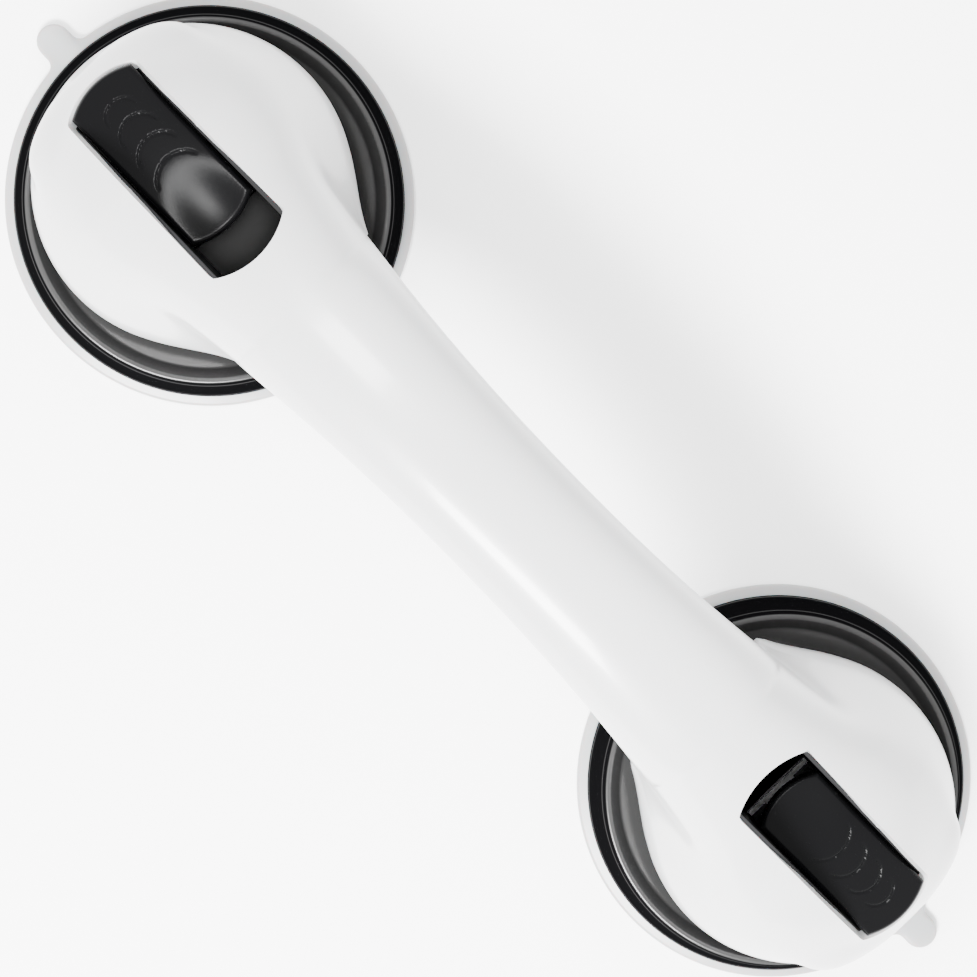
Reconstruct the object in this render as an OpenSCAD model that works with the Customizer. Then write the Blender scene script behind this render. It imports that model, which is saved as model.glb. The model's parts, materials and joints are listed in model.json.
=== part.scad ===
// Suction grab bar: an arched grip between two lobes, each held down by a lever, a cam and a cup.
// Origin on the wall plane, midway between the cups. X runs along the bar, Z away from the wall.

/* [Bar] */
// Distance between the axes of the two cups
cup_spacing = 200; // [170:1:260]
// Height of the crest of the grip above the wall
crest_height = 82; // [70:1:100]
// Thickness of the grip at mid span, front to wall side
grip_thickness = 28; // [22:0.5:34]
// Width of the grip at mid span
grip_width = 32.6; // [26:0.2:38]
// How much wider the bar is where it runs into the lobes
neck_flare = 11; // [4:0.5:14]
// Wall of the moulded shells
shell_wall = 2.6; // [2:0.1:3.2]

/* [Lobe] */
// Radius of each lobe's round rim
lobe_r = 38; // [34:0.5:41]
// How far the middle of a lobe lies outboard of its cup's axis
lobe_shift = 5; // [0:0.5:6]
// Height of the lobe's rim above the wall
lobe_base = 14.6; // [14.2:0.1:16]
// Height of the straight band round the rim
lobe_band = 3.4; // [2:0.2:6]
// Height of the dome above the straight band
dome_rise = 37; // [34:0.5:38]

/* [Cup] */
// Radius of the soft cup's lip
cup_r = 49.5; // [47:0.5:54]
// Thickness of the cup's lip
lip_thickness = 2; // [1.6:0.1:2.4]
// Depth of the hollow under the cup when it is locked
cup_hollow = 3.9; // [3:0.1:4]
// Width of the release tab
tab_width = 8.4; // [6:0.2:12]
// Reach of the release tab beyond the lip
tab_reach = 8.2; // [5:0.2:12]

/* [Pressure plate] */
// Radius of the plate at its foot
plate_r = 47.1; // [45:0.1:48]
// Radius of the plate's sharp top edge
plate_edge_r = 43.2; // [41:0.1:44.5]
// Height of the plate's sharp top edge
plate_edge_z = 13.6; // [12:0.1:14]
// Height of the deck that the cover's bosses stand on
deck_z = 17; // [16:0.2:19]
// Thickness of the plate
plate_wall = 2.6; // [2:0.1:3]

/* [Lever] */
// Width of the lever
lever_width = 18.8; // [17:0.2:20]
// Reach of the lever outboard of its pin
lever_reach = 36.2; // [34:0.2:37]
// Reach of the lever's heel inboard of its pin
heel_reach = 9; // [8:0.1:9.4]
// Height of the pin above the wall when locked
pin_z = 39.5; // [39:0.1:40.5]
// Radius of the steel pin
pin_r = 1.5; // [1.3:0.1:1.8]
// How far the cam lifts the cup's middle
cam_lift = 3.5; // [2.5:0.1:3.6]
// Distance from the pin to the cam's locked face
cam_r = 10; // [9.5:0.1:10.4]
// Radius of the stem under the pin
stem_r = 4.2; // [3.8:0.1:4.4]

/* [Fasteners] */
// Radius of the screws' shanks
screw_r = 1.4; // [1.2:0.1:1.6]
// Radius of the screws' heads
screw_head_r = 2.8; // [2.4:0.1:3.2]
// Height of the screws' heads
screw_head_h = 1.8; // [1.4:0.1:2]
// Radius of the bosses that the screws bite into
boss_r = 3.6; // [3.2:0.1:4]

/* [Clearances] */
// Running clearance of a pin or stem in its hole
run_gap = 0.05; // [0.02:0.01:0.1]
// Clearance between the cam and its wear plate
cam_gap = 0.3; // [0.2:0.05:0.4]
// Clearance round the lever in its well
lever_gap = 0.45; // [0.3:0.05:0.6]
// Clearance between parts that are fastened together
seat_gap = 0.1; // [0.05:0.05:0.3]

/* [Hidden] */
cup_x = cup_spacing / 2;
lobe_x = cup_x + lobe_shift;
end_x = lobe_x + lobe_r;

// The bar's lines along X: its top is one round arch, rolled off over each lobe's outer end.
arch_drop = 45;
arch_over = 31;
arch_half = lobe_x + arch_over;
arch_r = (pow(arch_half, 2) + pow(arch_drop, 2)) / (2 * arch_drop);
arch_mid_z = crest_height - arch_r;
band_z = lobe_base + lobe_band;
roll_len = 15;
roll_bend = 4;
roll_from = end_x - roll_len;
hump_end = end_x - 2;
under_half = lobe_x - lobe_r + 1;
under_bend = 2.6;
under_end_z = 16;
function arch_z(x) = arch_mid_z + sqrt(pow(arch_r, 2) - pow(x, 2));
function roll(x) = x < roll_from ? 1 : sqrt(1 - pow((x - roll_from) / roll_len, roll_bend));
function top_z(x) = band_z + (arch_z(abs(x)) - band_z) * roll(abs(x));
function under_z(x) = abs(x) >= under_half ? under_end_z
    : under_end_z + (crest_height - grip_thickness - under_end_z)
        * sqrt(1 - pow(abs(x) / under_half, under_bend));
end_taper = 0.42;
flare_at = 75;
flare_bend = 2.2;
function taper(x) = x < lobe_x ? 1 : 1 - end_taper * pow((x - lobe_x) / lobe_r, 2);
function flare(x) = neck_flare / 2 * pow(min(x, cup_x) / flare_at, flare_bend);
function half_w(x) = (grip_width / 2 + flare(abs(x))) * taper(abs(x));

// A cross-section of the bar is a superellipse, drawn through section_sides points.
section_sides = 32;
section_power = 2.5;
section_bend = 2 / section_power;
function bent(v) = sign(v) * pow(abs(v), section_bend);
function section(x, inset) = let (t = top_z(x) - inset, b = under_z(x) + inset, w = half_w(x) - inset)
    [for (i = [0:section_sides - 1]) let (a = 360 * i / section_sides)
        [w * bent(cos(a)), (t + b) / 2 + (t - b) / 2 * bent(sin(a))]];
station_step = 6;
slice = 0.4;

// The seam between the cover and the underside lies at the widest line of the grip.
seam_x = under_half - 10;
seam_share = 0.46;
function seam_z(x) = under_z(x) + (top_z(x) - under_z(x)) * seam_share;

// A gusset fills each corner between a lobe's rim and the bar's flank, up to where the two meet.
gusset_r = 20;
gusset_spread = 3.5;
gusset_rise = 30;
gusset_y = half_w(lobe_x - 0.87 * lobe_r) + gusset_r;
gusset_x = lobe_x - cup_x - sqrt(pow(lobe_r + gusset_r, 2) - pow(gusset_y, 2));
gusset_turn = atan2(gusset_y, lobe_x - cup_x - gusset_x);

// The lever's outline, the well's and the pocket's are strips with round ends.
end_arc_r = 18;
well_wall = 0.9;
pocket_inset = lever_gap + well_wall + seat_gap;
heel_swing = 17;
well_floor_z = pin_z - 8;
well_floor = 1.2;
well_drop = 1;
well_trim_r = arch_r - 13;
well_trim_z = arch_z(cup_x - heel_swing) - well_drop
    - sqrt(pow(well_trim_r, 2) - pow(cup_x - heel_swing, 2));

// The cam drops evenly as the lever turns, so its face is the curve whose support falls evenly.
cam_steps = 18;
cam_fall = cam_lift / (PI / 2);
function cam_point(turn) = let (h = cam_r - cam_lift * turn / 90, a = 270 - turn)
    [h * cos(a) - cam_fall * sin(a), h * sin(a) + cam_fall * cos(a)];
slot_gap = 0.35;
slot_half = stem_r + slot_gap;
stem_head = 3.6;
head_swing = sqrt(pow(stem_r, 2) + pow(stem_head, 2)) + 0.4;
lever_top_inner = 12.5;
lever_top_outer = -0.9;
lever_under = -7;
heel_under = 6.9;
pin_short = 0.3;
dish_r = 15;
dish_depth = 1.8;
dish_at_z = pin_z + 9.4;

// The wear plate lies on a block that stands on the deck, under the cam.
wear_h = 1.2;
wear_top = pin_z - cam_r - cam_gap;
block_top = wear_top - wear_h;
block_in = -6.3;
block_out = 7.2;
well_floor_from = 9.4;
cam_flat_to = 4;
lever_under_from = 8.2;
block_half = lever_width / 2 + 0.4;
wear_inset = 0.4;

// The plate's section: a flat deck, a trough round it, and a ridge with a sharp top edge.
trough_r = 31;
trough_z = 9.4;
deck_r = 26;

boss_x = 12.5;
boss_y = 16.6;
screw_len = 11;
grip_screw_x = 34;
grip_seat_z = under_z(grip_screw_x) + 7;
grip_head_z = grip_seat_z - 3;
flange_r = 8.5;
flange_h = 2;
flange_z = 6.4;
cup_boss_r = 11;
cup_boss_z = 11;
soft_gap = 0.3;
screw_gap = 0.2;
pin_fit = 0.02;
foot_z = lip_thickness + 1.2;

module at_end(side) {
    if (side > 0) translate([cup_x, 0, 0]) children();
    else mirror([1, 0, 0]) translate([cup_x, 0, 0]) children();
}

module bar_slice(x, inset) {
    translate([x, 0, 0]) rotate([90, 0, 90]) linear_extrude(slice, center = true)
        polygon(section(x, inset));
}

module bar_solid(inset) {
    reach = hump_end - inset;
    count = ceil(2 * reach / station_step);
    for (i = [0:count - 1]) hull() {
        bar_slice(-reach + 2 * reach * i / count, inset);
        bar_slice(-reach + 2 * reach * (i + 1) / count, inset);
    }
}

module round_top(r, rise, bottom) {
    translate([lobe_shift, 0, 0]) rotate_extrude($fn = 72) polygon(concat(
        [[0, bottom], [r, bottom], [r, band_z]],
        [for (a = [10:10:80]) [r * pow(cos(a), 0.9), band_z + rise * pow(sin(a), 1.25)]],
        [[0, band_z + rise]]));
}

module dome(inset) {
    round_top(lobe_r - inset, dome_rise - inset, lobe_base - (inset > 0 ? 1 : 0));
}

module gussets() {
    turns = [for (i = [0:4]) -80 + (80 - gusset_turn) * i / 4];
    for (flank = [0, 1]) mirror([0, flank, 0]) intersection() {
        round_top(lobe_r + gusset_spread, gusset_rise, lobe_base);
        translate([under_half - cup_x, 0, 0]) cube([lobe_r, 2 * lobe_r, crest_height]);
        linear_extrude(crest_height) polygon(concat(
            [for (a = turns) [gusset_x + gusset_r * cos(a), gusset_y + gusset_r * sin(a)]],
            [[gusset_x + gusset_r, gusset_y - 0.9 * gusset_r], [gusset_x, gusset_y - 1.5 * gusset_r]]));
    }
}

module grip_zone(shrink) {
    translate([-seam_x + shrink, -lobe_r, under_end_z - 4])
        cube([2 * (seam_x - shrink), 2 * lobe_r, crest_height]);
}

module below_seam(shift) {
    count = ceil(2 * seam_x / station_step);
    points = [for (i = [0:count]) let (x = -seam_x + 2 * seam_x * i / count) [x, seam_z(x) + shift]];
    rotate([90, 0, 0]) linear_extrude(2 * lobe_r, center = true)
        polygon(concat(points, [[seam_x, 0], [-seam_x, 0]]));
}

module strip(inset, inner, outer) {
    intersection() {
        union() {
            translate([end_arc_r - inner, 0]) circle(end_arc_r - inset, $fn = 96);
            translate([outer - end_arc_r, 0]) circle(end_arc_r - inset, $fn = 96);
        }
        translate([-inner, -lever_width / 2 + inset])
            square([inner + outer, lever_width - 2 * inset]);
    }
}

module pocket_outline(extra) {
    strip(-extra, heel_swing, lever_reach + lever_gap);
}

module screw(head_down, length) {
    translate([0, 0, -length]) cylinder(h = length, r = screw_r, $fn = 32);
    difference() {
        cylinder(h = head_down, r = screw_head_r, $fn = 32);
        translate([0, 0, head_down - 0.9]) cylinder(h = 1, r = 1.3, $fn = 6);
    }
}

module boss_places() {
    for (x = [-boss_x, boss_x], y = [-boss_y, boss_y]) translate([x, y, 0]) children();
}

module grip_screw_places() {
    for (x = [-grip_screw_x, grip_screw_x]) translate([x, 0, 0]) children();
}

module cover_shell() {
    difference() {
        union() {
            bar_solid(0);
            for (side = [-1, 1]) at_end(side) dome(0);
            for (side = [-1, 1]) at_end(side) gussets();
        }
        difference() {
            union() {
                bar_solid(shell_wall);
                for (side = [-1, 1]) at_end(side) dome(shell_wall);
            }
            neck_walls();
        }
        for (side = [-1, 1]) at_end(side) {
            translate([0, 0, lobe_base - 4]) linear_extrude(crest_height) pocket_outline(pocket_inset);
        }
        below_seam(0);
        translate([-end_x, -lobe_r, lobe_base - 30]) cube([2 * end_x, 2 * lobe_r, 30]);
    }
}

// A bulkhead at each end of the grip closes the cover behind the underside.
module neck_walls() {
    for (side = [-1, 1])
        translate([side * (seam_x + shell_wall / 2), 0, 0])
            cube([shell_wall, 3 * lobe_r, 3 * crest_height], center = true);
}

module cover_bosses() {
    difference() {
        intersection() {
            union() {
                for (side = [-1, 1]) at_end(side) boss_places() translate([0, 0, deck_z + seat_gap])
                    cylinder(h = crest_height, r = boss_r, $fn = 24);
                grip_screw_places() translate([0, 0, grip_seat_z + seat_gap])
                    cylinder(h = crest_height, r = boss_r, $fn = 24);
            }
            union() {
                bar_solid(shell_wall / 2);
                for (side = [-1, 1]) at_end(side) dome(shell_wall / 2);
            }
        }
        for (side = [-1, 1]) at_end(side) boss_places() translate([0, 0, deck_z - 1])
            cylinder(h = screw_len + 2, r = screw_r + run_gap, $fn = 16);
        grip_screw_places() translate([0, 0, grip_seat_z - 1])
            cylinder(h = screw_len + 2, r = screw_r + run_gap, $fn = 16);
    }
}

module handle_cover() {
    color("white") union() {
        cover_shell();
        cover_bosses();
    }
}

module grip_underside() {
    color("white") difference() {
        union() {
            difference() {
                bar_solid(0);
                bar_solid(shell_wall);
            }
            intersection() {
                bar_solid(0.5);
                grip_screw_places() cylinder(h = grip_seat_z, r = boss_r, $fn = 24);
            }
        }
        grip_screw_places() {
            translate([0, 0, -1]) cylinder(h = crest_height, r = screw_r + screw_gap, $fn = 24);
            cylinder(h = grip_head_z, r = screw_head_r + screw_gap, $fn = 24);
        }
        difference() {
            translate([-end_x, -lobe_r, -1]) cube([2 * end_x, 2 * lobe_r, 2 * crest_height]);
            intersection() {
                below_seam(-seat_gap);
                grip_zone(seat_gap);
            }
        }
    }
}

module grip_screws() {
    color("silver") grip_screw_places()
        translate([0, 0, grip_head_z]) mirror([0, 0, 1]) screw(screw_head_h, screw_len);
}

module pressure_plate() {
    color([0.05, 0.05, 0.05]) difference() {
        union() {
            rotate_extrude($fn = 96) polygon([
                [plate_r, foot_z], [plate_r, foot_z + 1.1], [plate_r - 0.5, foot_z + 1.4],
                [plate_r - 0.9, foot_z + 2], [plate_edge_r + 1.1, plate_edge_z - 1.8],
                [plate_edge_r + 1.1, plate_edge_z - 1.2], [plate_edge_r + 0.5, plate_edge_z - 0.9],
                [plate_edge_r + 0.2, plate_edge_z], [plate_edge_r - 0.8, plate_edge_z],
                [plate_edge_r - 3.4, plate_edge_z - 2], [plate_edge_r - 8, trough_z + 0.6],
                [trough_r, trough_z], [trough_r - 3, trough_z + 0.8],
                [deck_r, deck_z - 1.4], [deck_r - 1.4, deck_z], [0, deck_z],
                [0, deck_z - plate_wall], [deck_r - 2, deck_z - plate_wall],
                [trough_r - 4, trough_z - plate_wall + 0.6], [trough_r, trough_z - plate_wall],
                [plate_edge_r - 8, trough_z - plate_wall + 0.4],
                [plate_edge_r - 2.6, plate_edge_z - plate_wall - 2], [plate_r - plate_wall, foot_z]
            ]);
            translate([block_in, -block_half, deck_z - 0.5])
                cube([block_out - block_in, 2 * block_half, block_top - deck_z + 0.5]);
        }
        translate([0, 0, -1]) cylinder(h = crest_height, r = stem_r + run_gap, $fn = 64);
        boss_places() translate([0, 0, -1]) cylinder(h = crest_height, r = screw_r + screw_gap, $fn = 32);
    }
}

module plate_screws() {
    color("silver") boss_places()
        translate([0, 0, deck_z - plate_wall]) mirror([0, 0, 1]) screw(screw_head_h, screw_len);
}

module lever_well() {
    color([0.08, 0.08, 0.08]) intersection() {
        difference() {
            translate([0, 0, deck_z]) linear_extrude(crest_height) pocket_outline(lever_gap + well_wall);
            translate([0, 0, well_floor_z]) linear_extrude(crest_height) pocket_outline(lever_gap);
            translate([-heel_swing, -block_half - seat_gap, deck_z - 1])
                cube([heel_swing + well_floor_from, 2 * (block_half + seat_gap), crest_height]);
            translate([well_floor_from - 1, -block_half, deck_z - 1])
                cube([lever_reach - 6, 2 * block_half, well_floor_z - well_floor - deck_z + 1]);
        }
        translate([-cup_x, lobe_r, well_trim_z]) rotate([90, 0, 0])
            cylinder(h = 2 * lobe_r, r = well_trim_r, $fn = 200);
    }
}

module wear_plate() {
    color("gainsboro") difference() {
        translate([block_in + wear_inset, -block_half + wear_inset, block_top])
            cube([block_out - block_in - 2 * wear_inset, 2 * (block_half - wear_inset), wear_h]);
        translate([0, 0, block_top - 1]) cylinder(h = wear_h + 2, r = stem_r + soft_gap, $fn = 64);
    }
}

module suction_cup() {
    color([0.8, 0.82, 0.83]) difference() {
        union() {
            rotate_extrude($fn = 128) polygon([
                [0, cup_hollow], [20, cup_hollow * 0.72], [34, cup_hollow * 0.25], [cup_r - 6, 0],
                [cup_r - 0.6, 0], [cup_r, 0.6], [cup_r, lip_thickness - 0.6],
                [cup_r - 0.7, lip_thickness], [plate_r - 1.4, foot_z - soft_gap], [36, foot_z],
                [trough_r, foot_z], [cup_boss_r + 4, 5.6], [cup_boss_r, 6.6],
                [cup_boss_r, cup_boss_z], [0, cup_boss_z]
            ]);
            hull() {
                translate([cup_r + tab_reach - tab_width / 2, 0, 0])
                    cylinder(h = lip_thickness, r = tab_width / 2, $fn = 32);
                translate([cup_r - 5, -tab_width / 2, 0]) cube([1, tab_width, lip_thickness]);
            }
        }
        translate([0, 0, flange_z - soft_gap])
            cylinder(h = flange_h + 2 * soft_gap, r = flange_r + soft_gap, $fn = 64);
        translate([0, 0, flange_z]) cylinder(h = cup_boss_z, r = stem_r + soft_gap, $fn = 64);
    }
}

module cup_stem() {
    color("ivory") difference() {
        union() {
            translate([0, 0, flange_z]) cylinder(h = flange_h, r = flange_r, $fn = 64);
            translate([0, 0, flange_z + 0.5])
                cylinder(h = pin_z + stem_head - flange_z - 0.5, r = stem_r, $fn = 64);
        }
        translate([0, lever_width, pin_z]) rotate([90, 0, 0])
            cylinder(h = 2 * lever_width, r = pin_r + pin_fit, $fn = 48);
    }
}

module lever_pin() {
    color("silver") translate([0, lever_width / 2 - pin_short, pin_z]) rotate([90, 0, 0])
        cylinder(h = lever_width - 2 * pin_short, r = pin_r, $fn = 48);
}

// The lever's side view, with its pin at the origin.
module lever_side() {
    polygon(concat(
        [[-heel_reach, lever_top_inner - 0.6], [-heel_reach + 0.6, lever_top_inner]],
        [[lever_reach - 1.6, lever_top_outer + 0.4], [lever_reach - 0.3, lever_top_outer - 0.3],
         [lever_reach, lever_top_outer - 1.4], [lever_reach - 1.2, lever_under + 1],
         [lever_reach - 2.4, lever_under], [lever_under_from, lever_under], [cam_flat_to, -cam_r]],
        [for (turn = [0:90 / cam_steps:90]) cam_point(turn)],
        [[cam_lift - cam_r, heel_under], [-heel_reach, heel_under]]));
}

module lever() {
    color([0.06, 0.06, 0.06]) difference() {
        intersection() {
            translate([0, lever_width / 2, pin_z]) rotate([90, 0, 0])
                linear_extrude(lever_width) lever_side();
            linear_extrude(crest_height) strip(0, heel_reach, lever_reach);
        }
        translate([0, slot_half, pin_z]) rotate([90, 0, 0])
            cylinder(h = 2 * slot_half, r = head_swing, $fn = 64);
        translate([-heel_reach - 1, -slot_half, pin_z - 2 * cam_r])
            cube([heel_reach + 1 + slot_half, 2 * slot_half, 2 * cam_r]);
        translate([-heel_reach - 1, -slot_half, pin_z - 1])
            cube([heel_reach + 1, 2 * slot_half, 1 + slot_half]);
        translate([0, lever_width, pin_z]) rotate([90, 0, 0])
            cylinder(h = 2 * lever_width, r = pin_r + run_gap, $fn = 48);
        translate([0, 0, dish_at_z + dish_r - dish_depth]) sphere(dish_r, $fn = 96);
    }
}

handle_cover();
grip_underside();
grip_screws();
at_end(-1) pressure_plate();  // pressure_plate_left
at_end(1) pressure_plate();  // pressure_plate_right
at_end(-1) plate_screws();  // plate_screws_left
at_end(1) plate_screws();  // plate_screws_right
at_end(-1) lever_well();  // lever_well_left
at_end(1) lever_well();  // lever_well_right
at_end(-1) suction_cup();  // suction_cup_left
at_end(1) suction_cup();  // suction_cup_right
at_end(-1) cup_stem();  // cup_stem_left
at_end(1) cup_stem();  // cup_stem_right
at_end(-1) wear_plate();  // wear_plate_left
at_end(1) wear_plate();  // wear_plate_right
at_end(-1) lever();  // lever_left
at_end(1) lever();  // lever_right
at_end(-1) lever_pin();  // lever_pin_left
at_end(1) lever_pin();  // lever_pin_right
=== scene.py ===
import bpy
import bmesh
import json
import math
import numpy as np
from mathutils import Matrix, Vector


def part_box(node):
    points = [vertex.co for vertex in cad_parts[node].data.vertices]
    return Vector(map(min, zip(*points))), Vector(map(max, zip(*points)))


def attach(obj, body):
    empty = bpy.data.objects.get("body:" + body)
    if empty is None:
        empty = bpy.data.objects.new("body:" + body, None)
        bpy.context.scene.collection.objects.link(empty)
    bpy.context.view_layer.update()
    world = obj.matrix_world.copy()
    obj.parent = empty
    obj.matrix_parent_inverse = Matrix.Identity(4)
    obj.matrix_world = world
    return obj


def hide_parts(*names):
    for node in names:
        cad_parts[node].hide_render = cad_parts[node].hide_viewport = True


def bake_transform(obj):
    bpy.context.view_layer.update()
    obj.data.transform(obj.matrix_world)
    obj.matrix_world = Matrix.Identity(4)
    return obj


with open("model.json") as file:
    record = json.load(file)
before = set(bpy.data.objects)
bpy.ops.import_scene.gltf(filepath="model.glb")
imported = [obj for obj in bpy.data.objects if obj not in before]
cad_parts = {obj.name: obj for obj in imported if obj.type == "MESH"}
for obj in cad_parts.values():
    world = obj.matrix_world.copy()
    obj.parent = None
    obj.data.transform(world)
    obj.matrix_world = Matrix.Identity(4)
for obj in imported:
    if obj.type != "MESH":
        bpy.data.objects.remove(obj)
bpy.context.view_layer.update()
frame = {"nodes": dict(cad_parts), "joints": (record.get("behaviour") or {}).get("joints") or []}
scene = bpy.context.scene
mm = 0.001
joints = {joint["name"]: joint for joint in frame["joints"]}
pinPlace = [value / mm for value in joints["lever_hinge_right"]["pos_m"]]
cupX, pinZ = pinPlace[0], pinPlace[2]
sides = {"left": -1, "right": 1}


def nodeBox(name):  # a node's corners in millimetres
    low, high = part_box(name)
    return [value / mm for value in low], [value / mm for value in high]


# ---- small mesh helpers

def makeObject(name, verts, faces, smoothAngle=30):
    mesh = bpy.data.meshes.new(name)
    mesh.from_pydata([tuple(float(c) * mm for c in v) for v in verts], [], faces)
    mesh.validate()
    mesh.update()
    piece = bpy.data.objects.new(name, mesh)
    scene.collection.objects.link(piece)
    tidyNormals(piece, smoothAngle)
    return piece


def tidyNormals(piece, smoothAngle):
    work = bmesh.new()
    work.from_mesh(piece.data)
    bmesh.ops.remove_doubles(work, verts=work.verts, dist=0.00001)
    bmesh.ops.recalc_face_normals(work, faces=work.faces)
    limit = math.radians(smoothAngle)
    for face in work.faces:
        face.smooth = True
    for edge in work.edges:
        edge.smooth = len(edge.link_faces) != 2 or edge.calc_face_angle(0) < limit
    work.to_mesh(piece.data)
    work.free()


def finishPiece(piece, material, body, replaced=()):
    piece.data.materials.clear()
    piece.data.materials.append(material)
    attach(piece, body)
    if replaced:
        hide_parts(*replaced)
    return piece


def addBevel(piece, width, segments=2, angle=35):
    bevel = piece.modifiers.new("edgeRounding", "BEVEL")
    bevel.width = width * mm
    bevel.segments = segments
    bevel.limit_method = "ANGLE"
    bevel.angle_limit = math.radians(angle)
    bevel.harden_normals = True
    return bevel


def lathe(profile, steps=192, centre=(0, 0)):  # turns (radius, height) points about Z
    verts, faces = [], []
    for radius, height in profile:
        for step in range(steps):
            angle = 2 * math.pi * step / steps
            verts.append((centre[0] + radius * math.cos(angle), centre[1] + radius * math.sin(angle), height))
    rows = len(profile)
    for row in range(rows - 1):
        for step in range(steps):
            nextStep = (step + 1) % steps
            faces.append((row * steps + step, row * steps + nextStep,
                          (row + 1) * steps + nextStep, (row + 1) * steps + step))
    return verts, faces


def roundCorners(points, radius, cuts=5):  # rounds each inner corner of an open outline
    out = [points[0]]
    for before, here, after in zip(points, points[1:], points[2:]):
        before, here, after = Vector(before), Vector(here), Vector(after)
        toBefore, toAfter = before - here, after - here
        reach = min(radius, toBefore.length * 0.45, toAfter.length * 0.45)
        start, end = here + toBefore.normalized() * reach, here + toAfter.normalized() * reach
        for cut in range(cuts + 1):
            t = cut / cuts
            out.append(tuple((1 - t) ** 2 * start + 2 * t * (1 - t) * here + t * t * end))
    out.append(points[-1])
    return out


# ---- shader groups, shared by the materials

def newGroup(name, inputs, outputs):
    group = bpy.data.node_groups.new(name, "ShaderNodeTree")
    for label, kind, value in inputs:
        socket = group.interface.new_socket(name=label, in_out="INPUT", socket_type=kind)
        if value is not None:
            socket.default_value = value
    for label, kind in outputs:
        group.interface.new_socket(name=label, in_out="OUTPUT", socket_type=kind)
    return group, group.nodes.new("NodeGroupInput"), group.nodes.new("NodeGroupOutput")


def mathNode(tree, operation, first, second=None, clamp=False):
    node = tree.nodes.new("ShaderNodeMath")
    node.operation = operation
    node.use_clamp = clamp
    for socket, value in zip(node.inputs, (first, second)):
        if value is None:
            continue
        if isinstance(value, (int, float)):
            socket.default_value = value
        else:
            tree.links.new(value, socket)
    return node.outputs[0]


def noiseNode(tree, scale, detail=3.0, roughness=0.5):
    coords = tree.nodes.new("ShaderNodeTexCoord")
    noise = tree.nodes.new("ShaderNodeTexNoise")
    noise.inputs["Scale"].default_value = scale
    noise.inputs["Detail"].default_value = detail
    noise.inputs["Roughness"].default_value = roughness
    tree.links.new(coords.outputs["Object"], noise.inputs["Vector"])
    return noise


def makeMouldedSkin():  # fine grain and slow waviness of a moulded surface
    group, source, result = newGroup("mouldedSkin", [
        ("Base Roughness", "NodeSocketFloat", 0.3), ("Roughness Spread", "NodeSocketFloat", 0.06),
        ("Grain Scale", "NodeSocketFloat", 4000.0), ("Grain Height", "NodeSocketFloat", 0.05),
        ("Wave Height", "NodeSocketFloat", 0.02)],
        [("Roughness", "NodeSocketFloat"), ("Normal", "NodeSocketVector")])
    grain = noiseNode(group, 1.0, 2.0)
    group.links.new(source.outputs["Grain Scale"], grain.inputs["Scale"])
    wave = noiseNode(group, 60.0, 1.0)
    smudge = noiseNode(group, 35.0, 4.0, 0.6)
    spread = mathNode(group, "MULTIPLY", mathNode(group, "SUBTRACT", smudge.outputs["Fac"], 0.5),
                      source.outputs["Roughness Spread"])
    rough = mathNode(group, "ADD", source.outputs["Base Roughness"], spread, clamp=True)
    fineBump = group.nodes.new("ShaderNodeBump")
    fineBump.inputs["Distance"].default_value = 0.0002
    group.links.new(source.outputs["Grain Height"], fineBump.inputs["Strength"])
    group.links.new(grain.outputs["Fac"], fineBump.inputs["Height"])
    slowBump = group.nodes.new("ShaderNodeBump")
    slowBump.inputs["Distance"].default_value = 0.002
    group.links.new(source.outputs["Wave Height"], slowBump.inputs["Strength"])
    group.links.new(wave.outputs["Fac"], slowBump.inputs["Height"])
    group.links.new(fineBump.outputs["Normal"], slowBump.inputs["Normal"])
    group.links.new(rough, result.inputs["Roughness"])
    group.links.new(slowBump.outputs["Normal"], result.inputs["Normal"])
    return group


def makeEdgeWearAndHighlight():  # a mask of convex outer edges: rubbed wear on most parts, and on the levers also a painted highlight along the groove rims
    group, source, result = newGroup("edgeWearAndHighlight", [
        ("Amount", "NodeSocketFloat", 0.5), ("Sharpness", "NodeSocketFloat", 8.0)],
        [("Mask", "NodeSocketFloat")])
    geometry = group.nodes.new("ShaderNodeNewGeometry")
    raised = mathNode(group, "SUBTRACT", geometry.outputs["Pointiness"], 0.52)
    sharp = mathNode(group, "MULTIPLY", raised, source.outputs["Sharpness"], clamp=True)
    patch = noiseNode(group, 300.0, 4.0, 0.6)
    broken = mathNode(group, "MULTIPLY", sharp, patch.outputs["Fac"])
    group.links.new(mathNode(group, "MULTIPLY", broken, source.outputs["Amount"], clamp=True),
                    result.inputs["Mask"])
    return group


mouldedSkin = makeMouldedSkin()
edgeWearAndHighlight = makeEdgeWearAndHighlight()


def newMaterial(name, settings):
    material = bpy.data.materials.new(name)
    material.use_nodes = True
    tree = material.node_tree
    shader = tree.nodes["Principled BSDF"]
    for socketName, value in settings.get("shader", {}).items():
        shader.inputs[socketName].default_value = value
    skin = tree.nodes.new("ShaderNodeGroup")
    skin.node_tree = mouldedSkin
    for socketName, value in settings["skin"].items():
        skin.inputs[socketName].default_value = value
    tree.links.new(skin.outputs["Roughness"], shader.inputs["Roughness"])
    tree.links.new(skin.outputs["Normal"], shader.inputs["Normal"])
    wear = tree.nodes.new("ShaderNodeGroup")
    wear.node_tree = edgeWearAndHighlight
    for socketName, value in settings["wear"].items():
        wear.inputs[socketName].default_value = value
    tint = noiseNode(tree, settings.get("tintScale", 25.0), 3.0)
    shade = tree.nodes.new("ShaderNodeMix")
    shade.data_type = "RGBA"
    shade.inputs["A"].default_value = (*settings["colour"], 1)
    shade.inputs["B"].default_value = (*settings["tint"], 1)
    tree.links.new(tint.outputs["Fac"], shade.inputs["Factor"])
    # edge colour mixed in by the edge mask: wear, and on the levers a painted highlight on the groove rims
    wornAndLit = tree.nodes.new("ShaderNodeMix")
    wornAndLit.data_type = "RGBA"
    wornAndLit.inputs["B"].default_value = (*settings["wearAndHighlightColour"], 1)
    tree.links.new(wear.outputs["Mask"], wornAndLit.inputs["Factor"])
    tree.links.new(shade.outputs["Result"], wornAndLit.inputs["A"])
    tree.links.new(wornAndLit.outputs["Result"], shader.inputs["Base Color"])
    return material


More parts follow.
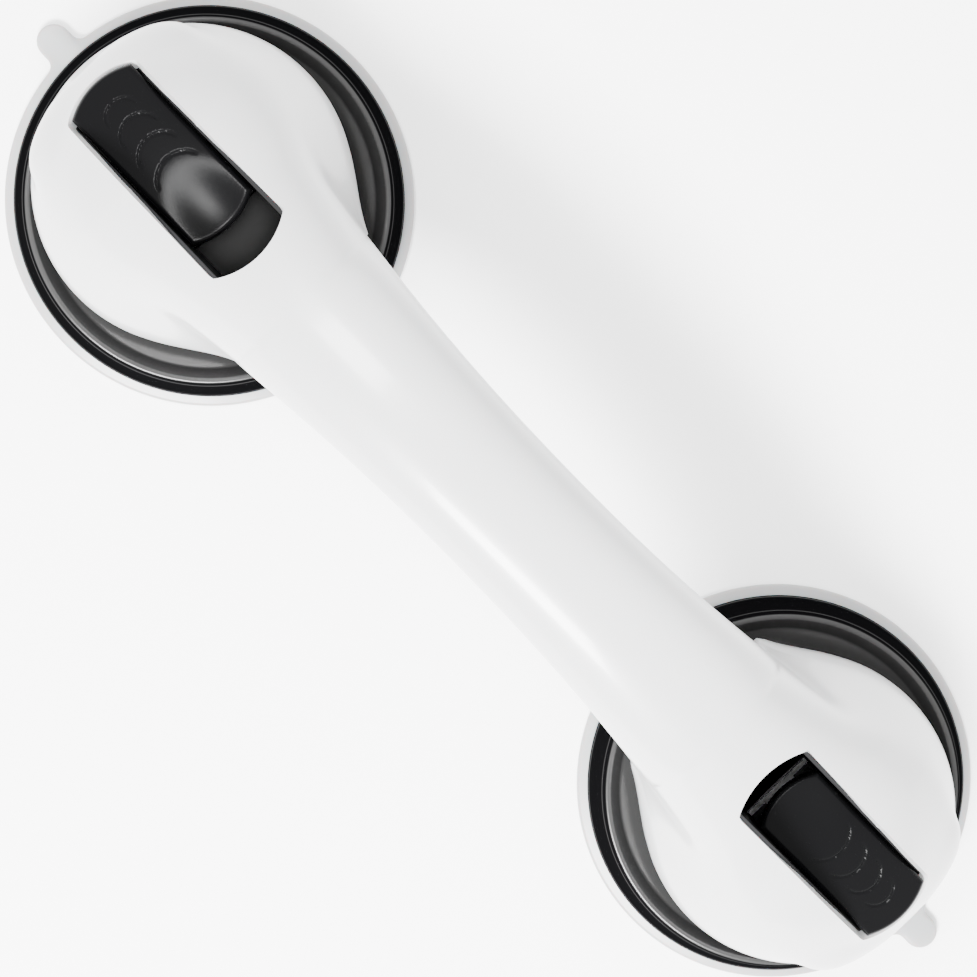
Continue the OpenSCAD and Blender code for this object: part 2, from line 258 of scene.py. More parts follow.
def paintTopReflection(material, paintedReflectionGrey):  # upright faces get no specular and keep their black; faces that look up get specular plus a painted reflection grey mixed into their colour
    tree = material.node_tree
    shader = tree.nodes["Principled BSDF"]
    geometry = tree.nodes.new("ShaderNodeNewGeometry")
    split = tree.nodes.new("ShaderNodeSeparateXYZ")
    tree.links.new(geometry.outputs["Normal"], split.inputs["Vector"])
    upward = mathNode(tree, "MULTIPLY", mathNode(tree, "SUBTRACT", split.outputs["Z"], 0.7), 5.0, clamp=True)
    tree.links.new(mathNode(tree, "MULTIPLY", upward, 0.3), shader.inputs["Specular IOR Level"])
    # painted reflection: upward faces are greyed to stand for the lit surroundings they mirror
    paintedReflection = tree.nodes.new("ShaderNodeMix")
    paintedReflection.data_type = "RGBA"
    paintedReflection.inputs["B"].default_value = (paintedReflectionGrey, paintedReflectionGrey, paintedReflectionGrey, 1)
    tree.links.new(upward, paintedReflection.inputs["Factor"])
    tree.links.new(shader.inputs["Base Color"].links[0].from_socket, paintedReflection.inputs["A"])
    tree.links.new(paintedReflection.outputs["Result"], shader.inputs["Base Color"])


whiteShell = newMaterial("whiteShell", {
    "colour": (0.43, 0.433, 0.437), "tint": (0.45, 0.45, 0.452), "wearAndHighlightColour": (0.52, 0.52, 0.52),
    "skin": {"Base Roughness": 0.3, "Roughness Spread": 0.05, "Grain Scale": 2500.0,
             "Grain Height": 0.02, "Wave Height": 0.012},
    "wear": {"Amount": 0.2, "Sharpness": 6.0},
    "shader": {"Coat Weight": 0.35, "Coat Roughness": 0.12, "Subsurface Weight": 0.06,
               "Subsurface Scale": 0.004, "IOR": 1.5}})
# on the levers the edge mask and its lighter edge colour paint the light lines along the groove rims, a
# painted highlight as well as wear
leverBlack = newMaterial("leverBlack", {
    "colour": (0.0016, 0.0016, 0.0018), "tint": (0.0024, 0.0024, 0.0026), "wearAndHighlightColour": (0.02, 0.02, 0.02),
    "skin": {"Base Roughness": 0.2, "Roughness Spread": 0.04, "Grain Scale": 3500.0,
             "Grain Height": 0.05, "Wave Height": 0.004},
    "wear": {"Amount": 0.35, "Sharpness": 8.0},
    "shader": {"IOR": 1.5, "Specular IOR Level": 0.045}})
wellBlack = newMaterial("wellBlack", {
    "colour": (0.008, 0.008, 0.0085), "tint": (0.012, 0.012, 0.0125), "wearAndHighlightColour": (0.014, 0.014, 0.014),
    "skin": {"Base Roughness": 0.45, "Roughness Spread": 0.1, "Grain Scale": 3000.0,
             "Grain Height": 0.15, "Wave Height": 0.01},
    "wear": {"Amount": 0.4, "Sharpness": 8.0}, "shader": {"IOR": 1.48, "Specular IOR Level": 0.1}})
plateBlack = newMaterial("plateBlack", {
    "colour": (0.0014, 0.0014, 0.0016), "tint": (0.0022, 0.0022, 0.0024), "wearAndHighlightColour": (0.006, 0.006, 0.006),
    "skin": {"Base Roughness": 0.22, "Roughness Spread": 0.06, "Grain Scale": 3000.0,
             "Grain Height": 0.03, "Wave Height": 0.008},
    "wear": {"Amount": 0.3, "Sharpness": 9.0},
    "shader": {"IOR": 1.5, "Specular IOR Level": 0.5}})
# the plate's dish and other upward faces get a painted reflection grey of 0.02 in their colour
paintTopReflection(plateBlack, 0.02)
cupGrey = newMaterial("cupGrey", {
    "colour": (0.35, 0.36, 0.365), "tint": (0.38, 0.387, 0.39), "wearAndHighlightColour": (0.46, 0.46, 0.46),
    "skin": {"Base Roughness": 0.3, "Roughness Spread": 0.08, "Grain Scale": 1500.0,
             "Grain Height": 0.03, "Wave Height": 0.03},
    "wear": {"Amount": 0.3, "Sharpness": 5.0},
    "shader": {"Transmission Weight": 0.25, "IOR": 1.45, "Subsurface Weight": 0.3,
               "Subsurface Scale": 0.006}})
stemNylon = newMaterial("stemNylon", {
    "colour": (0.72, 0.70, 0.64), "tint": (0.76, 0.74, 0.69), "wearAndHighlightColour": (0.8, 0.8, 0.78),
    "skin": {"Base Roughness": 0.4, "Roughness Spread": 0.08, "Grain Scale": 2500.0,
             "Grain Height": 0.08, "Wave Height": 0.01},
    "wear": {"Amount": 0.3, "Sharpness": 6.0},
    "shader": {"Subsurface Weight": 0.15, "Subsurface Scale": 0.003}})
slipGrey = newMaterial("slipGrey", {
    "colour": (0.66, 0.67, 0.68), "tint": (0.7, 0.7, 0.71), "wearAndHighlightColour": (0.8, 0.8, 0.8),
    "skin": {"Base Roughness": 0.33, "Roughness Spread": 0.1, "Grain Scale": 2500.0,
             "Grain Height": 0.05, "Wave Height": 0.01},
    "wear": {"Amount": 0.5, "Sharpness": 6.0}, "shader": {"IOR": 1.48}})
zincSteel = newMaterial("zincSteel", {
    "colour": (0.55, 0.56, 0.58), "tint": (0.62, 0.62, 0.62), "wearAndHighlightColour": (0.8, 0.8, 0.8),
    "skin": {"Base Roughness": 0.28, "Roughness Spread": 0.15, "Grain Scale": 5000.0,
             "Grain Height": 0.1, "Wave Height": 0.02},
    "wear": {"Amount": 0.6, "Sharpness": 8.0}, "shader": {"Metallic": 1.0}, "tintScale": 400.0})
print("materials made")

# ---- the white body: one smooth skin from rim to rim, then parted along the seam

coverLow, coverHigh = nodeBox("handle_cover")
endX, crestZ, rimZ = coverHigh[0], coverHigh[2] + 0.02, coverLow[2]
body = {
    "lobeRadius": coverHigh[1],     # rim of each lobe
    "bandHeight": 3.4,              # straight band above the rim
    "domeRise": 37.0,
    "sideRound": 0.9,               # below one, the dome's side stands upright for longer
    "topRound": 1.25,
    "gripThickness": 28.0,
    "gripHalfWidth": 16.3,
    "neckFlare": 5.5,
    "archDrop": 45.0,
    "archOverhang": 31.0,           # the top's arch runs on past the lobe's middle
    "endRoll": 15.0,                # length of the round end of the top
    "underBend": 2.6,
    "underEnd": 16.0,
    "sectionPower": 2.5,
    "cornerFill": 10.6,             # fills the plan's corner between lobe and flank
    "blend": 7.0,                   # size of the fillet where the dome meets the bar
    "innerRound": 5.0,              # rounds the lobe's inner edge under the neck
    "wall": 2.6,
    "seamShare": 0.46,
    "seamInset": 10.0,
    "flareAt": 75.0,
    "flareBend": 2.2,
    "edgeRounding": 0.45,
}
lobeX = endX - body["lobeRadius"]
bandZ = rimZ + body["bandHeight"]
archHalf = lobeX + body["archOverhang"]
archRadius = (archHalf ** 2 + body["archDrop"] ** 2) / (2 * body["archDrop"])
underHalf = lobeX - body["lobeRadius"] + 1
seamX = underHalf - body["seamInset"]


def topZ(x):
    x = np.abs(x)
    arch = crestZ - archRadius + np.sqrt(archRadius ** 2 - np.minimum(x, archRadius - 1) ** 2)
    roll = np.sqrt(1 - np.clip((x - endX + body["endRoll"]) / body["endRoll"], 0, 1) ** 4)
    return bandZ + (arch - bandZ) * roll


def underZ(x):
    share = np.clip(np.abs(x) / underHalf, 0, 1)
    return body["underEnd"] + (crestZ - body["gripThickness"] - body["underEnd"]) * np.sqrt(
        1 - share ** body["underBend"])


def halfWidth(x):
    x = np.abs(x)
    taper = 1 - 0.9 * (np.clip((x - lobeX) / (endX - lobeX), 0, 1)) ** 8
    flare = body["neckFlare"] * (np.minimum(x, cupX) / body["flareAt"]) ** body["flareBend"]
    return (body["gripHalfWidth"] + flare) * taper


def bodyField(x, y, z):  # below zero inside the body
    top, under, wide = topZ(x), underZ(x), halfWidth(x)
    tall = np.maximum((top - under) / 2, 0.5)
    power = body["sectionPower"]
    bar = ((np.abs(y) / wide) ** power + (np.abs(z - (top + under) / 2) / tall) ** power) ** (1 / power) - 1
    bar = bar * np.minimum(wide, tall) + np.maximum(np.abs(x) - endX + 2, 0) * 4
    circle = np.hypot(np.abs(x) - lobeX, y) - body["lobeRadius"]
    flank = np.abs(y) - wide + np.maximum(np.abs(x) - lobeX + 20, 0)
    corner = np.clip(0.5 + 0.5 * (flank - circle) / body["cornerFill"], 0, 1)
    plan = flank + (circle - flank) * corner - body["cornerFill"] * corner * (1 - corner)
    radius = np.maximum(plan / body["lobeRadius"] + 1, 0)
    rise = np.maximum(z - bandZ, 0) / body["domeRise"]
    dome = np.sqrt(radius ** (2 / body["sideRound"]) + rise ** (2 / body["topRound"])) - 1
    dome = dome * body["lobeRadius"] * 0.9
    inboard = np.clip((underHalf - np.abs(x)) / 4, 0, 1)
    cut = np.where(inboard > 0, under - 1.4 * (1 - inboard) - z, -99)
    share = np.clip(0.5 + 0.5 * (dome - cut) / body["innerRound"], 0, 1)
    dome = cut + (dome - cut) * share + body["innerRound"] * share * (1 - share)
    outerFade = np.clip((endX - 10 - np.abs(x)) / 20, 0.08, 1)
    reach = body["blend"] * np.clip((z - bandZ + 2) / 10, 0.02, 1) * outerFade
    share = np.clip(0.5 + 0.5 * (dome - bar) / reach, 0, 1)
    return dome + (bar - dome) * share - reach * share * (1 - share)


def skinAlong(centre, direction, reach=95.0):  # where rays from inside leave the body
    low = np.zeros(direction.shape[:-1])
    high = np.full(direction.shape[:-1], reach)
    for _ in range(34):
        half = (low + high) / 2
        spot = centre + direction * half[..., None]
        inside = bodyField(spot[..., 0], spot[..., 1], spot[..., 2]) < 0
        low, high = np.where(inside, half, low), np.where(inside, high, half)
    return centre + direction * low[..., None]


def skinRings():  # upright rings along the grip, then rings that fan over each lobe down to its rim
    pivot = np.array([underHalf - 8, 0, rimZ])
    rays = 144
    around = 2 * math.pi * np.arange(rays) / rays
    rings = []
    gripX = np.concatenate([np.linspace(0, seamX, 46), np.linspace(seamX, pivot[0], 3)[1:]])
    gripCentre = underZ(gripX) + (topZ(gripX) - underZ(gripX)) * body["seamShare"]
    for x, z in zip(gripX, gripCentre):
        direction = np.stack([0 * around, np.cos(around), np.sin(around)], axis=-1)
        rings.append(skinAlong(np.array([x, 0, z]), direction, 45.0))
    lastReach = gripCentre[-1] - pivot[2]
    fanSteps = 110
    for step in range(1, fanSteps + 1):
        share = step / fanSteps
        angle = math.pi / 2 * (1 - share)
        outward = np.array([math.cos(angle), 0, math.sin(angle)])
        distance = lastReach + (lobeX - pivot[0] - lastReach) * share
        direction = np.sin(around)[:, None] * outward + np.cos(around)[:, None] * np.array([0, 1, 0])
        rings.append(skinAlong(pivot + outward * distance, direction))
    rings = np.array(rings)
    mirrored = rings[:0:-1] * np.array([-1, 1, 1])
    return np.concatenate([mirrored, rings])


pocket = {"halfWidth": 10.95, "inner": -18.5, "outer": 36.95, "endRadius": 19.0, "cornerRound": 0.8}


def pocketDepth(x, y):  # distance inside the pocket's outline, its corners rounded
    local = np.abs(x) - cupX
    innerX, outerX = pocket["inner"] + pocket["endRadius"], pocket["outer"] - pocket["endRadius"]
    toSide = pocket["halfWidth"] - np.abs(y)
    toInner = np.where(local < innerX, pocket["endRadius"] - np.hypot(local - innerX, y), 99.0)
    toOuter = np.where(local > outerX, pocket["endRadius"] - np.hypot(local - outerX, y), 99.0)
    toEnd = np.minimum(toInner, toOuter)
    share = np.clip(0.5 + 0.5 * (toEnd - toSide) / pocket["cornerRound"], 0, 1)
    return toEnd + (toSide - toEnd) * share - pocket["cornerRound"] * share * (1 - share)


def snapToPocket(spot):  # moves a point onto the outline, then back onto the skin
    x, y = float(spot[0]), float(spot[1])
    small = 0.01
    for _ in range(12):
        depth = float(pocketDepth(np.float64(x), np.float64(y)))
        slopeX = (float(pocketDepth(np.float64(x + small), np.float64(y))) - depth) / small
        slopeY = (float(pocketDepth(np.float64(x), np.float64(y + small))) - depth) / small
        steep = max(slopeX ** 2 + slopeY ** 2, 0.05)
        x, y = x - depth * slopeX / steep, y - depth * slopeY / steep
    return dropOnSkin(x, y)


def dropOnSkin(x, y):
    low, high = rimZ + 4.0, 100.0
    for _ in range(40):
        half = (low + high) / 2
        inside = bodyField(np.float64(x), np.float64(y), np.float64(half)) < 0
        low, high = (half, high) if inside else (low, half)
    return np.array([x, y, low])


def buildBody():
    rings = skinRings()
    rows, rays = rings.shape[:2]
    points = rings.reshape(-1, 3)
    depth = pocketDepth(points[:, 0], points[:, 1])
    inPocket = (depth > 0) & (points[:, 2] > topZ(points[:, 0]) - 14) & (np.abs(points[:, 0]) > seamX)
    cover, underside = [], []
    for row in range(rows - 1):
        for ray in range(rays):
            nextRay = (ray + 1) % rays
            face = (row * rays + ray, row * rays + nextRay,
                    (row + 1) * rays + nextRay, (row + 1) * rays + ray)
            if all(inPocket[corner] for corner in face):
                continue
            middleX = points[list(face), 0].mean()
            below = ray >= rays // 2 and abs(middleX) < seamX
            (underside if below else cover).append(face)
    used = {corner for face in cover for corner in face}
    moved = points.copy()
    edgeVerts = [index for index in used if inPocket[index]]
    for index in edgeVerts:
        moved[index] = snapToPocket(points[index])
    pieces = []
    for name, faces in (("handleCover", cover), ("gripUnderside", underside)):
        indices = sorted({corner for face in faces for corner in face})
        place = {index: order for order, index in enumerate(indices)}
        piece = makeObject(name, moved[indices], [tuple(place[c] for c in face) for face in faces], 60)
        wall = piece.modifiers.new("shellWall", "SOLIDIFY")
        wall.thickness = body["wall"] * mm
        wall.offset = -1
        addBevel(piece, body["edgeRounding"], 3, 50)
        pieces.append(piece)
    return pieces


coverPiece, undersidePiece = buildBody()
finishPiece(coverPiece, whiteShell, "frame", ["handle_cover"])
finishPiece(undersidePiece, whiteShell, "frame", ["grip_underside"])
print("white body built", len(coverPiece.data.polygons), "faces")

# ---- levers: a crowned top with a thumb dish and four arc grooves, cheeks and a cam below

lever = {
    "halfWidth": 9.4, "inner": -9.0, "outer": 36.2, "endRadius": 18.0,
    "topInner": 12.5, "topOuter": -0.9, "crown": 0.9,
    "edgeRound": 1.3,
    "dishCentre": -5.0, "dishLength": 17.0, "dishWidth": 11.0, "dishDepth": 1.3,
    "arcs": [(29.8, 4.2, 3.1), (24.6, 4.9, 4.0), (18.4, 5.3, 3.7), (12.0, 5.9, 3.6)],
    "grooveHalf": 0.34, "grooveDepth": 0.28,
    "under": -7.0, "underFrom": 8.2, "camRadius": 10.0, "camLift": 3.5, "camFlatTo": 4.0,
    "camInner": -6.5, "heelUnder": 6.9,
    "slotHalf": 4.55, "slotTo": 6.1, "headSwing": 5.93,
    "step": 0.3,
}


def leverInset(x, y):  # distance inside the lever's outline
    inner, outer, radius = lever["inner"], lever["outer"], lever["endRadius"]
    inset = lever["halfWidth"] - np.abs(y)
    inset = np.minimum(inset, np.where(x < inner + radius, radius - np.hypot(x - inner - radius, y), 99))
    return np.minimum(inset, np.where(x > outer - radius, radius - np.hypot(x - outer + radius, y), 99))


def leverTop(x, y):
    share = (x - lever["inner"]) / (lever["outer"] - lever["inner"])
    z = lever["topInner"] + (lever["topOuter"] - lever["topInner"]) * share
    z = z + lever["crown"] * np.sin(np.clip(share, 0, 1) * math.pi) - 0.5 * (y / lever["halfWidth"]) ** 2
    dish = ((x - lever["dishCentre"]) / lever["dishLength"]) ** 2 + (y / lever["dishWidth"]) ** 2
    z = z - lever["dishDepth"] * np.clip(1 - dish, 0, 1) ** 2
    for apex, half, sag in lever["arcs"]:
        radius = (half ** 2 + sag ** 2) / (2 * sag)
        away = np.abs(np.hypot(x - apex + radius, y) - radius)
        fade = np.clip((half + 0.4 - np.abs(y)) / 0.8, 0, 1) * (x > apex - sag - 0.6)
        z = z - lever["grooveDepth"] * np.sqrt(np.clip(1 - (away / lever["grooveHalf"]) ** 2, 0, 1)) * fade
    gone = np.clip(lever["edgeRound"] - leverInset(x, y), 0, lever["edgeRound"])
    return z - (lever["edgeRound"] - np.sqrt(np.maximum(lever["edgeRound"] ** 2 - gone ** 2, 0)))


def camBottom(x):  # height of the cam's face under the pin, from the curve whose support falls evenly
    turns = np.radians(np.linspace(0, 90, 60))
    fall = lever["camLift"] / (math.pi / 2)
    support = lever["camRadius"] - fall * turns
    angle = math.radians(270) - turns
    faceX = support * np.cos(angle) - fall * np.sin(angle)
    faceZ = support * np.sin(angle) + fall * np.cos(angle)
    curve = np.interp(x, faceX[::-1], faceZ[::-1])
    share = np.clip((x - lever["camFlatTo"]) / (lever["underFrom"] - lever["camFlatTo"]), 0, 1)
    ramp = -lever["camRadius"] + (lever["under"] + lever["camRadius"]) * share
    return np.where(x > lever["camFlatTo"], ramp, curve)


def leverUnder(x, y):
    z = camBottom(x)
    z = np.where(x < lever["camInner"], lever["heelUnder"], z)
    swing = np.sqrt(np.maximum(lever["headSwing"] ** 2 - np.minimum(np.abs(x), 5.9) ** 2, 0))
    web = np.maximum(swing, np.where(x < 0, 4.9, 1.0))
    z = np.where((np.abs(y) < lever["slotHalf"]) & (x < lever["slotTo"]), np.maximum(web, z), z)
    tip = np.clip((x - lever["outer"] + 3.2) / 3.2, 0, 1)
    return z + 5.2 * tip ** 2


def leverOutline(x):
    inner, outer, radius = lever["inner"], lever["outer"], lever["endRadius"]
    half = np.full_like(x, lever["halfWidth"])
    for ends, centre in ((x < inner + radius, inner + radius), (x > outer - radius, outer - radius)):
        chord = np.sqrt(np.maximum(radius ** 2 - (x[ends] - centre) ** 2, 0))
        half[ends] = np.minimum(half[ends], chord)
    return half


def buildLever(side, name):
    step = lever["step"]
    cornerIn = lever["endRadius"] - math.sqrt(lever["endRadius"] ** 2 - lever["halfWidth"] ** 2)
    innerEnd = np.linspace(0, 1, 13) ** 2 * cornerIn
    edges = np.concatenate([lever["inner"] + 0.004 + innerEnd,
                            lever["outer"] - 0.004 - innerEnd,
                            np.arange(lever["inner"] + cornerIn + step, lever["outer"] - cornerIn, step),
                            [lever["camInner"] - 0.02, lever["camInner"] + 0.02,
                             lever["slotTo"] - 0.02, lever["slotTo"] + 0.02]])
    xs = np.unique(np.round(edges, 4))
    across = np.concatenate([np.linspace(-1, 1, 61), [-0.995, 0.995, -0.985, 0.985, -0.95, 0.95]])
    slotShare = lever["slotHalf"] / lever["halfWidth"]
    across = np.unique(np.round(np.concatenate([across, [slotShare - 0.002, slotShare + 0.002,
                                                         0.002 - slotShare, -0.002 - slotShare]]), 4))
    half = leverOutline(xs)
    gridX = np.repeat(xs[:, None], len(across), axis=1)
    gridY = half[:, None] * across[None, :]
    top = leverTop(gridX, gridY)
    under = np.minimum(leverUnder(gridX, gridY), top - 0.6)
    rows, cols = gridX.shape
    verts = []
    for surface in (top, under):
        for x, y, z in zip(gridX.ravel(), gridY.ravel(), surface.ravel()):
            verts.append((side * (cupX + x), y, pinZ + z))
    count = rows * cols
    faces = []
    for row in range(rows - 1):
        for col in range(cols - 1):
            a, b = row * cols + col, row * cols + col + 1
            faces.append((a, b, b + cols, a + cols))
            faces.append((count + a + cols, count + b + cols, count + b, count + a))
    border = [col for col in range(cols)] + [row * cols + cols - 1 for row in range(1, rows)]
    border += [(rows - 1) * cols + col for col in range(cols - 2, -1, -1)]
    border += [row * cols for row in range(rows - 2, 0, -1)]
    for first, second in zip(border, border[1:] + border[:1]):
        faces.append((second, first, count + first, count + second))
    return makeObject(name, verts, faces, 38)


for end, side in sides.items():
    piece = buildLever(side, f"lever.{end}")
    finishPiece(piece, leverBlack, f"lever_{end}", [f"lever_{end}"])
print("levers built", len(piece.data.polygons), "faces each")

# ---- pressure plates: ridged wall, sharp edge, dished top, and the block under the cam

plateLow, plateHigh = nodeBox("pressure_plate_right")
plate = {
    "foot": plateLow[2], "footRadius": plateHigh[0] - cupX, "edgeRadius": 43.2, "edgeHeight": 13.6,
    "deckRadius": 26.0, "deckHeight": 17.0, "troughRadius": 31.0, "troughHeight": 9.4, "wall": 2.6,
    "holeRadius": 4.25, "blockTop": plateHigh[2],
}


def platePoints():  # the plate's section as (radius, height), from inside the hole and round again
    foot, footR, edgeR, edgeZ = (plate[key] for key in ("foot", "footRadius", "edgeRadius", "edgeHeight"))
    deckR, deckZ = plate["deckRadius"], plate["deckHeight"]
    troughR, troughZ = plate["troughRadius"], plate["troughHeight"]
    wall, hole = plate["wall"], plate["holeRadius"]
    return [(hole, deckZ - wall), (deckR - 2, deckZ - wall), (troughR - 4, troughZ - wall + 0.6),
            (troughR, troughZ - wall), (edgeR - 8, troughZ - wall + 0.4), (edgeR - 2.6, edgeZ - wall - 2),
            (footR - wall, foot), (footR, foot), (footR, foot + 1.1), (footR - 0.45, foot + 1.35),
            (footR - 0.55, foot + 1.7), (footR - 0.75, foot + 2.0), (edgeR + 1.3, edgeZ - 2.2),
            (edgeR + 0.85, edgeZ - 1.9), (edgeR + 0.8, edgeZ - 1.5), (edgeR + 0.95, edgeZ - 1.2),
            (edgeR + 0.3, edgeZ), (edgeR - 0.7, edgeZ), (edgeR - 3.4, edgeZ - 2.2),
            (edgeR - 8, troughZ + 0.7), (troughR, troughZ), (troughR - 3, troughZ + 0.9),
            (deckR, deckZ - 1.4), (deckR - 1.4, deckZ), (hole, deckZ)]


def buildPlate(side, name):
    profile = roundCorners(platePoints(), 0.5, 3)
    profile.append(profile[0])
    verts, faces = lathe(profile, 192, (side * cupX, 0))
    blockLow, blockHigh = side * cupX - 6.3 * side, side * cupX + 7.2 * side
    half, low, high = 9.8, plate["deckHeight"] - 0.4, plate["blockTop"]
    rings = [(0.0, low), (0.0, high - 0.5), (0.15, high - 0.15), (0.5, high)]
    start = len(verts)
    for inset, height in rings:
        for x, y in ((-1, -1), (1, -1), (1, 1), (-1, 1)):
            edgeX = (blockLow + side * inset) if x < 0 else (blockHigh - side * inset)
            verts.append((edgeX, y * (half - inset), height))
    for ring in range(len(rings) - 1):
        for corner in range(4):
            a, b = start + ring * 4 + corner, start + ring * 4 + (corner + 1) % 4
            faces.append((a, b, b + 4, a + 4))
    last = start + (len(rings) - 1) * 4
    faces.append((last, last + 1, last + 2, last + 3))
    return makeObject(name, verts, faces, 40)


for end, side in sides.items():
    piece = buildPlate(side, f"pressurePlate.{end}")
    finishPiece(piece, plateBlack, "frame", [f"pressure_plate_{end}"])
print("pressure plates built")

# ---- suction cups: a soft lip with a release tab, a hollow below and a boss round the stem

cup = {
    "lip": 49.5, "lipThickness": 2.0, "hollow": 3.9, "foot": 3.2, "bossRadius": 11.0, "bossTop": 11.0,
    "stemHole": 4.5, "tabHalf": 4.2, "tabReach": 8.2, "tabFillet": 2.4,
}


def lipOutline():  # the lip's edge with the tab on +X, as (angle of its inner neighbour, x, y)
    lip, half, fillet = cup["lip"], cup["tabHalf"], cup["tabFillet"]
    filletX = math.sqrt((lip + fillet) ** 2 - (half + fillet) ** 2)
    filletAngle = math.atan2(half + fillet, filletX)
    tipX = lip + cup["tabReach"] - half
    upper = []
    for step in range(7):  # round tip
        angle = math.pi / 2 * step / 6
        upper.append((tipX + half * math.cos(angle), half * math.sin(angle)))
    upper += [(tipX + (filletX - tipX) * share, half) for share in (0.33, 0.66)]
    for step in range(6):  # fillet back to the lip
        angle = math.radians(270) - (math.pi / 2 - filletAngle) * step / 5
        upper.append((filletX + fillet * math.cos(angle), half + fillet + fillet * math.sin(angle)))
    points = upper[:]
    arc = 180
    for step in range(1, arc):
        angle = filletAngle + (2 * math.pi - 2 * filletAngle) * step / arc
        points.append((lip * math.cos(angle), lip * math.sin(angle)))
    points += [(x, -y) for x, y in reversed(upper[1:])]
    base = len(upper)
    inner = []
    for index in range(len(points)):
        if index < base:
            inner.append(filletAngle * index / (base - 1))
        elif index >= len(points) - base + 1:
            inner.append(-filletAngle * (len(points) - index) / (base - 1))
        else:
            inner.append(math.atan2(points[index][1], points[index][0]))
    return points, inner


def buildCup(side, name):
    points, innerAngles = lipOutline()
    count = len(points)
    thick, lip = cup["lipThickness"], cup["lip"]
    rows = []  # (inset from the outline, or radius of a plain ring), height
    hole, hollow, boss, bossTop = (cup[key] for key in ("stemHole", "hollow", "bossRadius", "bossTop"))
    rows += [("radius", hole, hollow + 0.6), ("radius", hole + 0.5, hollow)]
    rows += [("radius", radius, hollow * height) for radius, height in
             ((12, 0.9), (20, 0.72), (27, 0.48), (34, 0.25), (39, 0.1), (43.5, 0.0))]
    rows += [("inset", 0.7, 0.0), ("inset", 0.2, 0.15), ("inset", 0.0, 0.6),
             ("inset", 0.0, thick - 0.6), ("inset", 0.2, thick - 0.18), ("inset", 0.7, thick)]
    rows += [("radius", radius, height) for radius, height in
             ((47.0, 2.35), (45.4, 2.88), (36.0, 3.15), (31.0, 3.2), (22.0, 4.3), (15.0, 5.6),
              (boss + 0.6, 6.4),
              (boss, 7.2), (boss, bossTop - 0.6), (boss - 0.6, bossTop), (hole + 0.5, bossTop),
              (hole, bossTop - 0.4), (hole, hollow + 0.6))]
    verts = []
    for kind, value, height in rows:
        for (x, y), angle in zip(points, innerAngles):
            if kind == "radius":
                spot = (value * math.cos(angle), value * math.sin(angle))
            else:
                away = math.hypot(x, y)
                if away > lip + 0.3:
                    tipX = lip + cup["tabReach"] - cup["tabHalf"]
                    centre = Vector((min(x, tipX), 0))
                    offset = Vector((x, y)) - centre
                    spot = tuple(centre + offset * (1 - value / max(offset.length, 0.1)))
                else:
                    spot = (x * (1 - value / away), y * (1 - value / away))
            verts.append((side * (cupX + spot[0]), spot[1], height))
    faces = []
    for row in range(len(rows) - 1):
        for index in range(count):
            after = (index + 1) % count
            faces.append((row * count + index, row * count + after,
                          (row + 1) * count + after, (row + 1) * count + index))
    return makeObject(name, verts, faces, 50)


for end, side in sides.items():
    piece = buildCup(side, f"suctionCup.{end}")
    piece.data.materials.append(cupGrey)
    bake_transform(piece)
    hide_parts(f"suction_cup_{end}")
print("suction cups built")

# ---- the frame's own pieces that keep their shape

keptPieces = {
    "lever_well": (wellBlack, 0.35), "cup_stem": (stemNylon, 0.4), "wear_plate": (slipGrey, 0.25),
    "lever_pin": (zincSteel, 0.25), "plate_screws": (zincSteel, 0.15),
}
for kind, (material, rounding) in keptPieces.items():
    for end in sides:
        node = frame["nodes"][f"{kind}_{end}"]
        node.data.materials.clear()
        node.data.materials.append(material)
        addBevel(node, rounding, 2, 40)
screws = frame["nodes"]["grip_screws"]
screws.data.materials.clear()
screws.data.materials.append(zincSteel)
addBevel(screws, 0.15, 2, 40)
print("carried pieces dressed")

# ---- floor, light and camera

studio = {"floorSize": 3.0, "floorColour": (0.95, 0.95, 0.95), "worldStrength": 3.0}


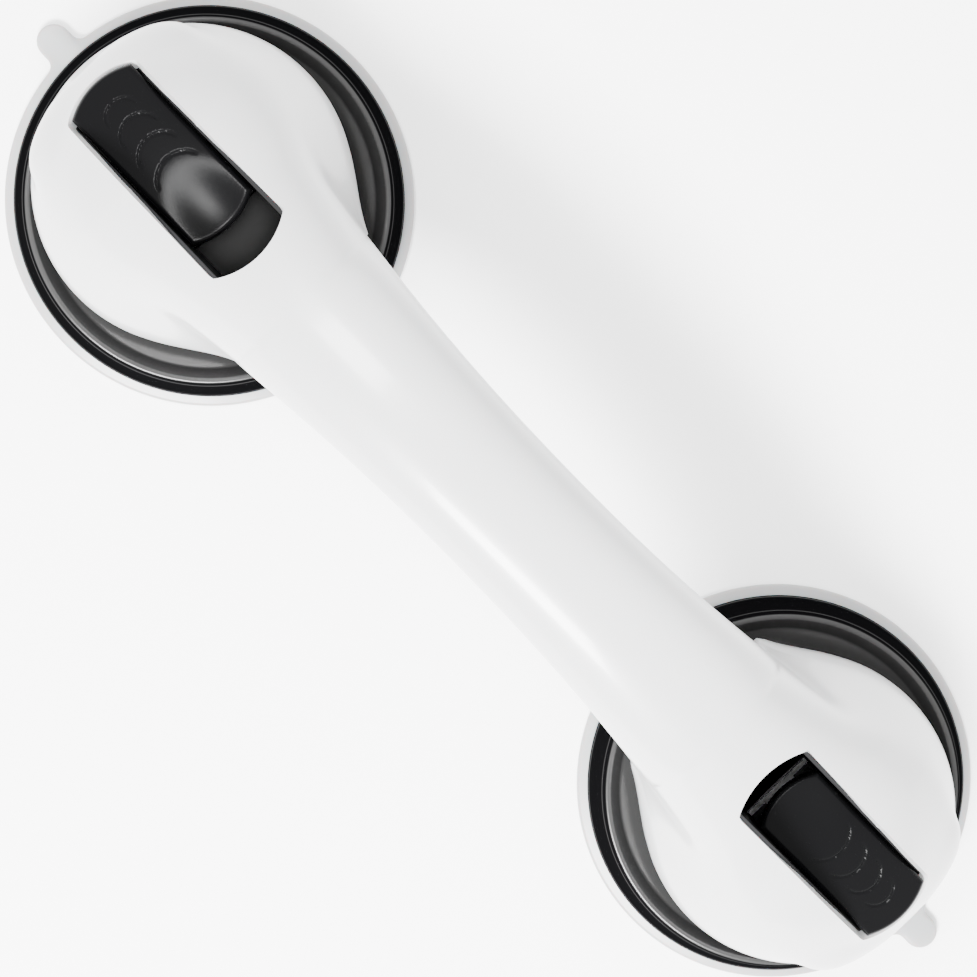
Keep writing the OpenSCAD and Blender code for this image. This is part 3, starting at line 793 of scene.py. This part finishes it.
def buildFloor():
    half = studio["floorSize"] / 2
    mesh = bpy.data.meshes.new("floor")
    work = bmesh.new()
    bmesh.ops.create_grid(work, x_segments=8, y_segments=8, size=half)
    work.to_mesh(mesh)
    work.free()
    floor = bpy.data.objects.new("floor", mesh)
    scene.collection.objects.link(floor)
    floor.location.z = -0.0002
    paint = bpy.data.materials.new("floorPaint")
    paint.use_nodes = True
    tree = paint.node_tree
    shader = tree.nodes["Principled BSDF"]
    shader.inputs["Roughness"].default_value = 0.9
    shader.inputs["Specular IOR Level"].default_value = 0.1
    shader.inputs["Base Color"].default_value = (*studio["floorColour"], 1)
    mesh.materials.append(paint)


def addLamp(name, place, aim, size, power, colour=(1, 1, 1)):
    lamp = bpy.data.lights.new(name, "AREA")
    lamp.shape = "RECTANGLE"
    lamp.size, lamp.size_y = size
    lamp.energy = power
    lamp.color = colour
    holder = bpy.data.objects.new(name, lamp)
    scene.collection.objects.link(holder)
    holder.location = place
    holder.rotation_euler = (Vector(aim) - Vector(place)).to_track_quat("-Z", "Y").to_euler()


buildFloor()
world = bpy.data.worlds.new("studioWorld")
world.use_nodes = True
world.node_tree.nodes["Background"].inputs["Color"].default_value = (1, 1, 1, 1)
world.node_tree.nodes["Background"].inputs["Strength"].default_value = studio["worldStrength"]
scene.world = world
addLamp("keySoftbox", (0.25, -0.75, 1.05), (0.01, 0, 0.06), (0.7, 0.35), 110)
addLamp("neckSoftbox", (-0.5, 0.0, 1.05), (-0.07, 0, 0.06), (0.2, 0.24), 12)

view = {  # nearly straight down on the bar, turned so that it runs from corner to corner
    "place": (-0.071, 0.0077, 0.6975), "forward": (0.0977, -0.0112, -0.9952),
    "right": (0.6942, 0.7173, 0.0601), "lens": 104.78, "sensor": 36,
}
camera = bpy.data.cameras.new("camera")
camera.sensor_width = view["sensor"]
camera.lens = view["lens"]
camera.clip_start, camera.clip_end = 0.05, 20
cameraHolder = bpy.data.objects.new("camera", camera)
scene.collection.objects.link(cameraHolder)
forward = Vector(view["forward"]).normalized()
up = Vector(view["right"]).cross(forward).normalized()
right = forward.cross(up)
cameraHolder.matrix_world = Matrix.Translation(view["place"]) @ Matrix(
    (right, up, -forward)).transposed().to_4x4()
scene.camera = cameraHolder
print("studio set")
